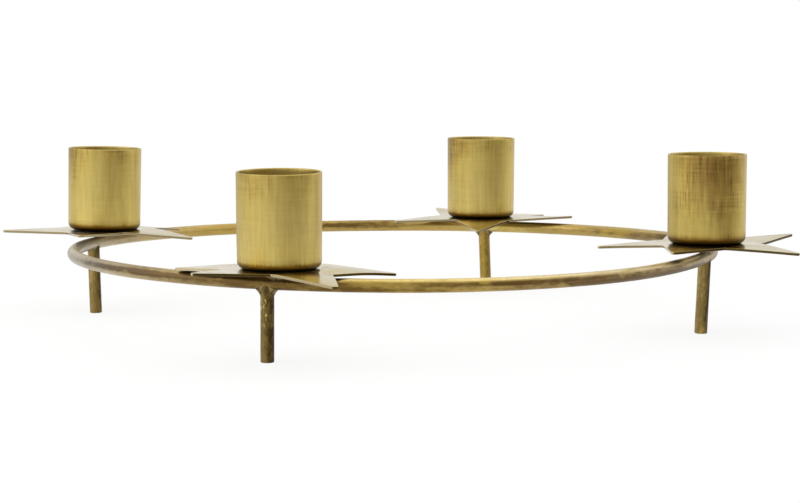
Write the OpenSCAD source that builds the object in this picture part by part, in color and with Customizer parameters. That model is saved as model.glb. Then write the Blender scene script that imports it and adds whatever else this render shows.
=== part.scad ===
// Candle holder for four candles: a brazed brass hoop on four short legs, with a star and a cup at
// each quarter. Millimetres. The origin is on the floor under the hoop's centre, and Z is up.
// The stations are numbered 0 front (-Y), 1 right (+X), 2 rear (+Y) and 3 left (-X).

/* [Hoop] */
// Radius of the hoop's centreline, which is also the circle that the cups stand on
hoop_radius = 106.7; // [95:0.1:130]
// Diameter of the round rod that the hoop and the legs are made of
rod_d = 4; // [3.4:0.1:5]
// Height of the hoop's centreline above the floor
hoop_height = 23.6; // [16:0.1:40]
// Width of the brazed butt joint that closes the hoop
seam_gap = 0.3; // [0.1:0.05:0.8]

/* [Legs] */
// Degrees along the hoop from each cup to its leg: front, right, rear, left
leg_turns = [-2.1, -1.3, -0.7, 5.4]; // [-8:0.1:8]
// Degrees that each leg leans along the hoop: front, right, rear, left
leg_leans = [-0.4, 0, -2, 0]; // [-4:0.1:4]
// Degrees that each leg's foot is drawn in under the hoop: front, right, rear, left
leg_draws = [0, 2.5, 0, 1.5]; // [-4:0.1:4]
// How far a leg's hollowed top reaches up the sides of the hoop
cope_depth = 1; // [0.4:0.1:1.6]

/* [Stars] */
// Radius of a star out to its points
star_radius = 35.1; // [30:0.1:45]
// Radius of a star in to its notches
notch_radius = 17.4; // [16:0.1:22]
// Radius that each point is blunted to
point_r = 1.2; // [0.4:0.1:2]
// Thickness of the sheet
sheet_t = 0.8; // [0.5:0.05:1.5]
// Height of a star's underside above the top of the hoop
star_lift = 1.5; // [1:0.1:3]
// Height by which the most bent point stands off its flat place
point_bend = 2; // [0.5:0.1:3]
// Distance of each point's crease outside the line between its two notches
crease_out = 0.5; // [0.3:0.1:3]
// Degrees each star is turned from having a notch straight outward: front, right, rear, left
star_turns = [12, 12, 12, -6]; // [-36:1:36]

/* [Cups] */
// Outside diameter of a cup at its rim
cup_d = 25; // [22:0.1:27]
// Height of a cup
cup_h = 28.9; // [20:0.1:45]
// Thickness of a cup's wall at its rim
cup_wall = 0.6; // [0.4:0.05:1]
// Thickness of a cup's floor
cup_floor = 0.6; // [0.4:0.05:1.2]
// Outside radius of the drawn edge round a cup's floor
cup_edge_r = 2.7; // [1.6:0.1:4]
// How much a cup's outside narrows from its rim to its drawn edge, on the radius
cup_draft = 0.15; // [0:0.01:0.2]

/* [Brazing] */
// Radius of the fillet that runs out from a leg along the hoop
leg_fillet_r = 2.6; // [1.5:0.1:3.5]
// Thickness of the edge that a fillet ends in
fillet_edge = 0.15; // [0.1:0.05:0.3]
// Thickness of braze on the side of the rod
bead_t = 0.7; // [0.4:0.05:1]
// Distance from the hoop's middle height at which each braze stops
bead_stop = 0.4; // [0.2:0.05:0.8]
// Length of the braze under a star, on each side of the cup's axis
pad_reach = 5.2; // [4:0.1:8]

/* [Rivets] */
// Diameter of the shank that holds a cup to its star
rivet_d = 3; // [2:0.1:3.4]
// Diameter of the head inside the cup
rivet_head_d = 6; // [4.5:0.1:8]
// Height of the head above the cup's floor
rivet_head_h = 1.2; // [0.8:0.1:1.8]
// Diameter of the tail set under the star
rivet_tail_d = 4; // [3.6:0.1:4.4]
// Thickness of the tail
rivet_tail_h = 0.7; // [0.4:0.05:0.9]

/* [Hidden] */
$fn = 96;

POINTS = 5;
QUARTER = 90;
STEP = 360 / POINTS;
HALF_STEP = STEP / 2;
// Bend of each point as a share of point_bend, from the one on the clockwise side of straight
// outward and on round: front, right, rear, left
bend_shares = [
    [1, -0.65, -0.7, 0.15, -0.1],
    [-0.55, 0.75, 0.25, -0.6, 0.1],
    [-0.8, 0.5, -0.45, -1, 0.2],
    [-0.6, 0.4, 0.7, -0.65, -0.85],
];
// Flats on each side of a point's blunt end
BLUNT_FLATS = 4;
// Length that a shape runs on into its neighbour, or past what it cuts
overrun = 1;

rod_r = rod_d / 2;
star_z = hoop_height + rod_r + star_lift;
cup_z = star_z + sheet_t;
cup_r = cup_d / 2;
bore_r = cup_r - cup_wall;
bore_edge_r = cup_edge_r - cup_floor;
foot_r = cup_r - cup_draft;
rim_r = cup_wall / 2;
rivet_r = rivet_d / 2;
seam_angle = seam_gap / hoop_radius * 180 / PI;
// The joint lies behind the rear leg, in the middle of the brazing there
seam_at = station_angle(2) - seam_angle / 2;

bead_r = rod_r + bead_t;
// A bead is a thicker ring, set off the hoop so that both surfaces cross at bead_stop
bead_offset = bead_stop + sqrt(bead_r * bead_r - rod_r * rod_r + bead_stop * bead_stop);

// A point's flanks run from the notches to touch the circle that blunts it
notch_x = notch_radius * cos(HALF_STEP);
notch_y = notch_radius * sin(HALF_STEP);
blunt_x = star_radius - point_r;
flank_length = norm([blunt_x - notch_x, notch_y]);
flank_slope = atan2(notch_y, blunt_x - notch_x) - asin(point_r / flank_length);
crease_x = notch_x + crease_out;
bent_length = star_radius - crease_x;

function station_angle(i) = (i - 1) * QUARTER;

module at_station(i, turn = 0) {
    rotate([0, 0, station_angle(i) + turn])
        translate([hoop_radius, 0, 0])
            children();
}

// A full turn of round rod on the hoop's circle
module round_hoop(r, z) {
    translate([0, 0, z])
        rotate_extrude()
            translate([hoop_radius, 0])
                circle(r = r);
}

module hoop_part(start, angle) {
    translate([0, 0, hoop_height])
        rotate([0, 0, start])
            rotate_extrude(angle = angle)
                translate([hoop_radius, 0])
                    circle(r = rod_r);
}

module hoop() {
    color("darkgoldenrod")
        hoop_part(seam_at + seam_angle, 360 - seam_angle);
}

module hoop_seam() {
    color("goldenrod")
        hoop_part(seam_at, seam_angle);
}

// Puts a leg's axis on Z, with the hoop's middle height at zero
module along_leg(i) {
    at_station(i, leg_turns[i])
        translate([0, 0, hoop_height])
            rotate([leg_leans[i], leg_draws[i], 0])
                children();
}

module leg_rod(i) {
    top = cope_depth - rod_r;
    along_leg(i)
        translate([0, 0, -hoop_height - overrun])
            cylinder(r = rod_r, h = hoop_height + overrun + top);
}

// A leg is cut flat at the floor, and its top is hollowed to sit on the hoop
module leg(i) {
    color("peru")
        difference() {
            leg_rod(i);
            round_hoop(rod_r, hoop_height);
            at_station(i, leg_turns[i])
                translate([0, 0, -hoop_height / 2])
                    cube([hoop_height, hoop_height, hoop_height], center = true);
        }
}

// A hollow flare round a leg's top, from the leg out to the hoop
module leg_flare() {
    reach = rod_r + fillet_edge + leg_fillet_r;
    low = -reach;
    rotate_extrude()
        difference() {
            translate([0, low])
                square([reach, -low]);
            translate([reach, low])
                circle(r = leg_fillet_r);
        }
}

module leg_braze(i) {
    color("saddlebrown")
        difference() {
            intersection() {
                along_leg(i) leg_flare();
                round_hoop(bead_r, hoop_height - bead_offset);
            }
            round_hoop(rod_r, hoop_height);
            leg_rod(i);
        }
}

// One fifth of a star, from just past its middle out to the point, pointing along X. Its flanks run
// on past the notches, so that the notches lie where the flanks of two neighbours cross.
module point_outline() {
    sweep = QUARTER - flank_slope;
    lap_x = notch_x - overrun * cos(flank_slope);
    lap_y = notch_y + overrun * sin(flank_slope);
    polygon([
        [-rivet_r / 2, 0],
        [lap_x, -lap_y],
        for (k = [-BLUNT_FLATS:BLUNT_FLATS])
            [blunt_x, 0] + point_r * [cos(sweep * k / BLUNT_FLATS), sin(sweep * k / BLUNT_FLATS)],
        [lap_x, lap_y],
    ]);
}

// The sheet seen from the side: flat out to the crease, then rising to the point
module bent_side(rise) {
    half = sheet_t / 2;
    end = star_radius + overrun;
    lift = rise * (end - crease_x) / bent_length;
    polygon([
        [-cup_r, -half], [crease_x, -half], [end, lift - half],
        [end, lift + half], [crease_x, half], [-cup_r, half],
    ]);
}

module bent_point(rise) {
    intersection() {
        translate([0, 0, -star_radius / 2])
            linear_extrude(height = star_radius)
                point_outline();
        rotate([90, 0, 0])
            linear_extrude(height = star_radius * 2, center = true)
                bent_side(rise);
    }
}

module star(i) {
    color("wheat")
        at_station(i)
            translate([0, 0, star_z + sheet_t / 2])
                rotate([0, 0, star_turns[i]])
                    difference() {
                        union() {
                            for (k = [0:POINTS - 1])
                                rotate([0, 0, k * STEP - HALF_STEP])
                                    bent_point(bend_shares[i][k] * point_bend);
                        }
                        cylinder(r = rivet_r, h = sheet_t + 2 * overrun, center = true);
                    }
}

// Braze between the hoop's top and the star, spread a little where it wets the star
module star_braze(i) {
    spread = pad_reach + star_lift;
    color("saddlebrown")
        difference() {
            intersection() {
                at_station(i)
                    translate([0, 0, hoop_height])
                        rotate_extrude()
                            difference() {
                                square([spread, star_z - hoop_height]);
                                translate([spread, rod_r - fillet_edge])
                                    circle(r = star_lift);
                                translate([pad_reach, 0])
                                    square([spread, rod_r - fillet_edge]);
                            }
                round_hoop(bead_r, hoop_height + bead_offset);
            }
            round_hoop(rod_r, hoop_height);
            at_station(i)
                translate([0, 0, star_z - rivet_tail_h])
                    cylinder(d = rivet_tail_d, h = rivet_tail_h + overrun);
        }
}

module cup_section() {
    difference() {
        union() {
            polygon([
                [0, 0], [foot_r - cup_edge_r, 0], [foot_r - cup_edge_r, cup_edge_r],
                [foot_r, cup_edge_r], [cup_r, cup_h - rim_r], [0, cup_h - rim_r],
            ]);
            translate([foot_r - cup_edge_r, cup_edge_r])
                intersection() {
                    circle(r = cup_edge_r);
                    translate([0, -cup_edge_r])
                        square([cup_edge_r, cup_edge_r]);
                }
        }
        translate([0, cup_floor])
            square([bore_r - bore_edge_r, cup_h]);
        translate([0, cup_edge_r])
            square([bore_r, cup_h]);
        translate([bore_r - bore_edge_r, cup_edge_r])
            circle(r = bore_edge_r);
        square([rivet_r, cup_floor + overrun]);
    }
    translate([bore_r + rim_r, cup_h - rim_r])
        circle(r = rim_r);
}

module cup(i) {
    color("gold")
        at_station(i)
            translate([0, 0, cup_z])
                rotate_extrude()
                    cup_section();
}

module cup_rivet(i) {
    head_r = rivet_head_d / 2;
    dome_r = (head_r * head_r + rivet_head_h * rivet_head_h) / (2 * rivet_head_h);
    grip = cup_floor + sheet_t;
    color("khaki")
        at_station(i)
            translate([0, 0, cup_z + cup_floor]) {
                intersection() {
                    translate([0, 0, rivet_head_h - dome_r])
                        sphere(r = dome_r);
                    cylinder(r = head_r, h = rivet_head_h);
                }
                translate([0, 0, -grip])
                    cylinder(r = rivet_r, h = grip);
                translate([0, 0, -grip - rivet_tail_h])
                    cylinder(d = rivet_tail_d, h = rivet_tail_h);
            }
}

hoop();
hoop_seam();
leg(0);  // leg_front
leg(1);  // leg_right
leg(2);  // leg_rear
leg(3);  // leg_left
leg_braze(0);  // leg_braze_front
leg_braze(1);  // leg_braze_right
leg_braze(2);  // leg_braze_rear
leg_braze(3);  // leg_braze_left
star(0);  // star_front
star(1);  // star_right
star(2);  // star_rear
star(3);  // star_left
star_braze(0);  // star_braze_front
star_braze(1);  // star_braze_right
star_braze(2);  // star_braze_rear
star_braze(3);  // star_braze_left
cup(0);  // cup_front
cup(1);  // cup_right
cup(2);  // cup_rear
cup(3);  // cup_left
cup_rivet(0);  // cup_rivet_front
cup_rivet(1);  // cup_rivet_right
cup_rivet(2);  // cup_rivet_rear
cup_rivet(3);  // cup_rivet_left
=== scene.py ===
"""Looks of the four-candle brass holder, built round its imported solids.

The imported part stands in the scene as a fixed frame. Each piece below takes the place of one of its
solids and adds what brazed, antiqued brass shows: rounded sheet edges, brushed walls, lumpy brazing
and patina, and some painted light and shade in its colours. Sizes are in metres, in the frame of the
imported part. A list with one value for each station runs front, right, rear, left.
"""
import math

import bmesh
import bpy
import numpy as np
from bpy.props import FloatProperty, FloatVectorProperty, PointerProperty
from mathutils import Matrix, Vector


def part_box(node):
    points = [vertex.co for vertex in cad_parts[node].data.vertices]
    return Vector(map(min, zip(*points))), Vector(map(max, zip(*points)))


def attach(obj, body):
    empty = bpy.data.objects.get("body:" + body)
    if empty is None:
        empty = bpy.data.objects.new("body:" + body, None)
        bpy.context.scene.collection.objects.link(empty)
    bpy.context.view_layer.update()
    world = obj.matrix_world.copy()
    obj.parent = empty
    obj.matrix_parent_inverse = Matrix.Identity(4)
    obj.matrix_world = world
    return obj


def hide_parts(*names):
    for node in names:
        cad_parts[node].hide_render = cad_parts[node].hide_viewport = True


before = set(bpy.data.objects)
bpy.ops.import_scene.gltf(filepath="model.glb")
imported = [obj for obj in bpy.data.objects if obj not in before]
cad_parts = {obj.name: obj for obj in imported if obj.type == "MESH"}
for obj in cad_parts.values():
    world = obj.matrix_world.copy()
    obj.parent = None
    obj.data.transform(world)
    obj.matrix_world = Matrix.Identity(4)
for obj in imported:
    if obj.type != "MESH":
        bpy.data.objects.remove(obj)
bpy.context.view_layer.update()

bl_info = {
    "name": "Brass star candle holder",
    "version": (1, 0, 0),
    "blender": (4, 5, 0),
    "location": "3D View > Sidebar > Candle holder",
    "description": "Builds a brazed brass candle holder with four cups on stars",
    "category": "Add Mesh",
}

BODY = "root"
MM = 0.001
STATIONS = ("front", "right", "rear", "left")
STATION_ANGLES = {name: math.radians(90 * i - 90) for i, name in enumerate(STATIONS)}
IMAGE_WIDTH = 800
SENSOR_WIDTH = 36

HOOP_LOW, HOOP_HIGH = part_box("hoop")
CUP_LOW, CUP_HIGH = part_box("cup_front")
RIVET_LOW, RIVET_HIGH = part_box("cup_rivet_front")
ROD_D = HOOP_HIGH.z - HOOP_LOW.z
HOOP_Z = (HOOP_HIGH.z + HOOP_LOW.z) / 2
HOOP_R = (HOOP_HIGH.x - HOOP_LOW.x - ROD_D) / 2
SHEET_TOP = CUP_LOW.z

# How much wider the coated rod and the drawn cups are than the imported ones
ROD_GROWTH = 1.04
CUP_GROWTH = 1.015

# Points this close or closer are one point
WELD = 0.002 * MM

FIFTH = math.tau / 5

# Where a star's sheet has its rings of points, from its hole at 0 to its outline at 1
STAR_RINGS = (0, 0.08, 0.18, 0.28, 0.38, 0.47, 0.56, 0.64, 0.71, 0.77, 0.83, 0.88, 0.92, 0.96, 1)


def srgb(red, green, blue):
    """A colour written as it looks, from 0 to 255, in the linear values that Blender keeps."""
    parts = [channel / 255 for channel in (red, green, blue)]
    return tuple(p / 12.92 if p <= 0.04045 else ((p + 0.055) / 1.055) ** 2.4 for p in parts)


def length(name, default, description):
    """A size in metres, shown in the scene's own unit."""
    return FloatProperty(
        name=name, description=description, default=default, min=0, precision=5, unit="LENGTH"
    )


def angle(name, degrees, description):
    return FloatProperty(
        name=name, description=description, default=math.radians(degrees), unit="ROTATION"
    )


def level(name, default, description):
    return FloatProperty(name=name, description=description, default=default, min=0)


def colour(name, value, description):
    return FloatVectorProperty(
        name=name, description=description, default=value, size=3, min=0, max=1, subtype="COLOR"
    )


def lengths(name, millimetres, description):
    """A list of sizes, written in millimetres."""
    values = [value * MM for value in millimetres]
    return FloatVectorProperty(
        name=name, description=description, default=values, size=len(values), unit="LENGTH"
    )


def angles(name, degrees, description):
    """A list of angles, written in degrees."""
    values = [math.radians(value) for value in degrees]
    return FloatVectorProperty(
        name=name, description=description, default=values, size=len(values), unit="ROTATION"
    )


def shares(name, values, description):
    """A list of shares from 0 to 1."""
    return FloatVectorProperty(
        name=name, description=description, default=values, size=len(values), min=0, max=1
    )


class HolderSizes(bpy.types.PropertyGroup):
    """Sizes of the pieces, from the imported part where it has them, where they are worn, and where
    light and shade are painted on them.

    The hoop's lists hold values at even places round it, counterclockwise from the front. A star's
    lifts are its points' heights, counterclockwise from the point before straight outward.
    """

    hoop_radius: length("Hoop radius", HOOP_R, "Radius of the hoop's centreline")
    rod_diameter: length("Rod diameter", ROD_D * ROD_GROWTH, "Diameter of the hoop's and legs' rod")
    hoop_height: length("Hoop height", HOOP_Z, "Height of the hoop's centreline above the floor")
    hoop_rises: lengths(
        "Hoop rises",
        (0.09, -0.23, 0.09, 1.1, 0.84, 0.1, -0.19, -0.29, 0.14, 0.55, 0.78, 0.54),
        "How far the hand-bent hoop stands above its mean height",
    )
    hoop_lumps: length("Hoop lumps", 0.04 * MM, "Unevenness of the hoop's skin")
    # Partly painted shade: the sides are darkest under and beside the front star
    hoop_side_rub_and_shade: shares(
        "Hoop sides",
        (0.08, 0.36, 0.1, 0.17, 0.24, 0.3, 0.36, 0.27, 0.18, 0.21, 0.24, 0.45,
         0.66, 0.4, 0.14, 0.38, 0.5, 0.45, 0.4, 0.45, 0.5, 0.28, 0.06, 0.12),
        "How far the hoop's sides are rubbed",
    )
    # Partly a painted highlight of the overhead light along the top
    hoop_crest_rub_and_highlight: shares(
        "Hoop crests",
        (0.62, 0.84, 0.84, 0.75, 0.5, 0.56, 0.62, 0.28, 0.6, 0.52, 0.56, 0.4),
        "How far the hoop's top is rubbed",
    )
    # Partly a painted reflection of the pale floor on the underside, and painted shade under the
    # front star
    hoop_under_rub_and_reflection: shares(
        "Hoop undersides",
        (0.1, 0.34, 0.06, 0.2, 0.1, 0.42, 0.66, 0.4, 0.48, 0.46, 0.5, 0.56),
        "How far the hoop's underside is rubbed",
    )
    hoop_golds: shares(
        "Hoop golds",
        (0.5, 0.95, 0.7, 0.4, 0.1, 0, 0, 0, 0.1, 0.3, 0.5, 0.65,
         0.8, 0.7, 0.6, 0.75, 0.85, 0.4, 0.15, 0, 0, 0, 0.2, 0.4),
        "How yellow the hoop's tarnish is",
    )
    # Painted reflection: the rod is greyed where the pale room shows in it, most round the left
    hoop_reflection_greys: shares(
        "Hoop silvers",
        (0, 0, 0.2, 0.3, 0.2, 0, 0, 0, 0, 0.5, 1, 0.35),
        "How grey the hoop's rubbed brass is",
    )
    seam_length: length("Seam length", 1.6 * MM, "Length of the braze on the hoop's butt joint")
    seam_lumps: length("Seam lumps", 0.06 * MM, "Unevenness of the butt joint's braze")
    leg_turns: angles("Leg turns", (-2.1, -1.3, -0.7, 5.4), "Turn from each cup to its leg")
    leg_leans: angles("Leg leans", (-0.4, 0, -2, 0), "Lean of each leg along the hoop")
    leg_draws: angles("Leg draws", (0, 2.5, 0, 1.5), "Lean of each foot in under the hoop")
    leg_lumps: length("Leg lumps", 0.06 * MM, "Unevenness of a leg's skin")
    foot_chamfer: length("Foot chamfer", 0.25 * MM, "Worn edge round the sawn end of a leg")
    # Painted light: the key lamp lies this way, and the legs are painted lighter on the side that
    # faces it
    leg_lit_face: angle("Leg face", -135, "Direction that the most rubbed side of the legs faces")
    leg_rubs: shares("Leg rubs", (0.24, 0.3, 0.7, 0.42), "How far each leg is rubbed")
    # Painted light: how much lighter each leg is on the side facing the key lamp, and darker on the
    # other
    leg_lit_sides: shares(
        "Leg sides", (0.2, 0.4, 0.15, 0.26), "How much more each leg is rubbed on one side"
    )
    leg_golds: shares("Leg golds", (0.1, 0.1, 1.0, 0.3), "How yellow each leg's tarnish is")
    leg_chips: shares(
        "Leg chips", (0.7, 0.2, 0.15, 0.15), "How bright the chips in each leg's dark finish are"
    )
    star_radius: length("Star radius", 35.1 * MM, "Radius of a star out to its points")
    notch_radius: length("Notch radius", 17.4 * MM, "Radius of a star in to its notches")
    point_radius: length("Point radius", 1.2 * MM, "Radius that a star's points are blunted to")
    crease_out: length("Crease out", 0.5 * MM, "Distance of a bent point's crease from its notches")
    sheet: length("Sheet", 0.8 * MM, "Thickness of the sheet that the stars are cut from")
    sheet_edge: length("Sheet edge", 0.12 * MM, "Rounding of the sheet's cut edges")
    sheet_ripple: length("Sheet ripple", 0.05 * MM, "Height of the ripples in the sheet")
    # Painted light: cut edges that face this way, towards the key lamp, are painted pale
    rim_lit_face: angle("Rim face", -150, "Direction that the pale cut edges of the stars face")
    rim_bares: shares("Rim bares", (0, 0, 0.3, 0.4), "How pale each star's other cut edges are")
    star_turns: angles("Star turns", (12, 12, 12, -6), "Turn of each star on its cup's axis")
    star_lifts: lengths("Star lifts", (0.31, 1.3, -0.8, 0.5), "How high each star and cup ride")
    star_shifts: lengths("Star shifts", (0, 0, -1.7, 0), "How far each star lies off its rivet")
    lifts_front: lengths("Front lifts", (1.3, -2.1, -2.2, -0.6, -1.3), "Bends of the front star")
    lifts_right: lengths("Right lifts", (-1.2, 1.4, 0.4, -1.3, 0.1), "Bends of the right star")
    lifts_rear: lengths("Rear lifts", (-1.2, 1.1, -1.0, -2.2, 1.2), "Bends of the rear star")
    lifts_left: lengths("Left lifts", (-1.7, 0.3, 0.9, -1.8, -2.2), "Bends of the left star")
    notch_drops: lengths("Notch drops", (1.2, 0, 0, 0), "How far each star's outer notch is dented")
    notch_spread: angle("Notch spread", 24, "Half width of the dent at a notch")
    cup_diameter: length(
        "Cup diameter", (CUP_HIGH.x - CUP_LOW.x) * CUP_GROWTH, "Outside diameter at the rim"
    )
    cup_height: length("Cup height", CUP_HIGH.z - CUP_LOW.z, "Height of a cup")
    cup_growths: lengths(
        "Cup growths", (-0.36, -0.1, 1.0, -0.43), "How much taller each drawn cup came out"
    )
    cup_wall: length("Cup wall", 0.6 * MM, "Thickness of a cup's wall")
    cup_edge: length("Cup edge", 2.3 * MM, "Radius of the drawn edge round a cup's floor")
    cup_draft: length("Cup draft", 0.15 * MM, "How much a cup narrows towards its floor")
    cup_lumps: length("Cup lumps", 0.05 * MM, "Unevenness of a cup's wall")
    cup_tips: angles("Cup tips", (1.3, 0, 0, -1.2), "Tip of each cup away from the centre")
    cup_sways: angles("Cup sways", (-0.5, 0, 0.3, 0.4), "Tip of each cup along the hoop")
    cup_rubs: shares("Cup rubs", (0.9, 0.72, 0.88, 0.9), "How far each cup is rubbed bright")
    cup_fades: shares(
        "Cup fades", (1.0, 0.15, 1.0, 1.0), "How far each cup fades from bright foot to dull mouth"
    )
    stain_turns: angles("Stain turns", (-42, -74, 123, 48), "Place of the stain on each cup")
    stain_spread: angle("Stain spread", 48, "Half width of the stain on a cup")
    stain_depths: shares(
        "Stain depths", (0.14, 0.32, 0.3, 0.24), "Darkness of the stain on each cup"
    )
    rivet_shank: length("Rivet shank", 3 * MM, "Diameter of the rivet's shank")
    rivet_head: length("Rivet head", RIVET_HIGH.x - RIVET_LOW.x, "Diameter of the rivet's head")
    rivet_rise: length("Rivet rise", 1.2 * MM, "Height of the rivet's head")
    rivet_tail: length("Rivet tail", 4 * MM, "Diameter of the rivet's set tail")
    rivet_drop: length("Rivet drop", 0.7 * MM, "Thickness of the rivet's set tail")
    rivet_edge: length("Rivet edge", 0.15 * MM, "Rounding of the rivet's edges")
    rivet_lumps: length("Rivet lumps", 0.05 * MM, "Unevenness of a hammered rivet")
    braze_reach: length("Braze reach", 6.5 * MM, "Length of each braze along the hoop, one way")
    braze_swell: length("Braze swell", 0.2 * MM, "Thickness of braze on the rod at a joint")
    braze_lumps: length("Braze lumps", 0.08 * MM, "Unevenness of the braze")
    braze_grain: length("Braze grain", 0.13 * MM, "Size of the cells that the braze is cast in")
    braze_fillets: lengths(
        "Braze fillets", (3.5, 1.9, 3.5, 2.3), "Radius of the hollow between each leg and the hoop"
    )
    braze_rubs: shares("Braze rubs", (0.12, 0.36, 1.0, 0.36), "How far each braze is rubbed")
    braze_golds: shares("Braze golds", (0.5, 0.4, 1.0, 0.3), "How yellow each braze's tarnish is")
    # Painted shade: how much darker each braze is down the leg, under the hoop
    braze_under_shades: shares(
        "Braze soots", (0.04, 0.2, 0, 0.2), "How much darker each braze is down the leg"
    )


class HolderFinish(bpy.types.PropertyGroup):
    """Colours of the brass, bright and tarnished, and the pale tone of painted highlights."""

    gleam: colour("Gleaming brass", srgb(210, 189, 108), "Barest brass, low on the cups")
    bright: colour("Bright brass", srgb(200, 180, 108), "Rubbed brass of the cups")
    straw: colour("Straw brass", srgb(187, 165, 90), "Brass with a thin tarnish")
    brown: colour("Brown patina", srgb(136, 106, 54), "Thicker, warm tarnish")
    olive: colour("Olive patina", srgb(124, 105, 62), "Tarnish on the legs")
    # Also the painted contact shade at the cups' feet
    dark: colour("Dark patina", srgb(56, 44, 24), "Scale left by the torch")
    plate: colour("Plate brass", srgb(214, 194, 124), "Sheet of the stars, rubbed bright")
    # Painted highlight as well as rubbed brass: the pale tone of the hoop's lit top and of the stars'
    # lit cut edges
    highlight_cream: colour("Cream brass", srgb(222, 206, 166), "Rod rubbed bright along its top")
    # On the hoop's underside this tone is partly a painted reflection of the pale floor
    tan: colour("Tan brass", srgb(178, 155, 104), "Rod rubbed a little underneath")
    # Partly painted shade: the dark tone of cut edges that face away from the key lamp, on top of
    # their tarnish
    edge: colour("Cut edge", srgb(84, 70, 38), "Tarnish on the stars' cut edges")
    umber: colour("Umber patina", srgb(108, 86, 52), "Tarnish along the side of the hoop")
    gold: colour("Gold tint", (1, 0.94, 0.55), "Tint of yellow tarnish")
    plate_glance: colour("Plate glance", (0.837, 0.858, 0.928), "Tint of the stars seen edgewise")
    braze_glance: colour("Braze glance", (0.7, 0.6, 0.38), "Tint of the braze seen edgewise")


class HolderStudio(bpy.types.PropertyGroup):
    """The camera, the lamps, the room and the floor."""

    camera_turn: angle("Camera turn", 18.227, "Turn of the camera round the holder")
    camera_distance: length("Camera distance", 790.41 * MM, "Distance from the hoop's axis")
    camera_height: length("Camera height", 98.42 * MM, "Height of the camera above the floor")
    camera_yaw: angle("Camera yaw", 0.1741, "How far the camera looks right of the axis")
    camera_pitch: angle("Camera pitch", 5.4216, "How far the camera looks down")
    camera_roll: angle("Camera roll", -0.09, "Roll of the camera")
    focal_length: FloatProperty(
        name="Focal length",
        description="Focal length of the camera in millimetres",
        default=2352.59 * SENSOR_WIDTH / IMAGE_WIDTH,
        min=1,
        subtype="DISTANCE_CAMERA",
    )
    key_power: level("Key power", 6.2, "Power of the key lamp in watts")
    fill_power: level("Fill power", 2, "Power of the fill lamp in watts")
    world_level: level("World level", 0.95, "Strength of the room's light")
    shade_turn: angle("Shade turn", 45, "Direction of the room's dark side, from the camera")
    shade: colour("Room shade", (0.25, 0.195, 0.117), "Light of the room's dark side")
    room_light: colour("Room light", (1, 0.99, 0.97), "Light of the rest of the room")
    floor_reach: length("Floor reach", 340 * MM, "Radius of the floor that takes the shadow")


def at_station(name, turn=0.0):
    """The place on the hoop's circle at a station: X points outward, Y on round the hoop."""
    sizes = bpy.context.scene.holder_sizes
    spin = Matrix.Rotation(STATION_ANGLES[name] + turn, 4, "Z")
    return spin @ Matrix.Translation((sizes.hoop_radius, 0, 0))


def on_star(name):
    """The place on a star's top under its cup."""
    lift = bpy.context.scene.holder_sizes.star_lifts[STATIONS.index(name)]
    return at_station(name) @ Matrix.Translation((0, 0, SHEET_TOP + lift))


def round_value(values, theta):
    """The value at an angle of a list that runs round the hoop, smoothly joined."""
    count = len(values)
    steps = (theta - STATION_ANGLES["front"]) % math.tau / math.tau * count
    first = int(steps)
    t = steps - first
    a, b, c, d = (values[(first + k) % count] for k in (-1, 0, 1, 2))
    return b + 0.5 * t * (c - a + t * (2 * a - 5 * b + 4 * c - d + t * (3 * (b - c) + d - a)))


def hoop_lift(theta):
    """How far the hoop stands above its mean height at an angle round it."""
    return round_value(bpy.context.scene.holder_sizes.hoop_rises, theta)


def hoop_point(theta):
    """The point of the hoop's centreline at an angle round it."""
    sizes = bpy.context.scene.holder_sizes
    x = sizes.hoop_radius * math.cos(theta)
    y = sizes.hoop_radius * math.sin(theta)
    return Vector((x, y, sizes.hoop_height + hoop_lift(theta)))


def leg_place(name):
    """The place of a leg: its axis on Z, with the hoop's centreline at zero."""
    sizes = bpy.context.scene.holder_sizes
    i = STATIONS.index(name)
    turn = sizes.leg_turns[i]
    draw = Matrix.Rotation(sizes.leg_draws[i], 4, "Y")
    lean = Matrix.Rotation(sizes.leg_leans[i], 4, "X")
    height = Matrix.Translation((0, 0, sizes.hoop_height))
    lift = Matrix.Translation((0, 0, hoop_lift(STATION_ANGLES[name] + turn)))
    return lift @ (at_station(name, turn) @ height @ (draw @ lean))


def between(value, low, high):
    """0 below low, 1 above high, and a smooth step from one to the other."""
    t = min(1.0, max(0.0, (value - low) / (high - low)))
    return t * t * (3 - 2 * t)


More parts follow.
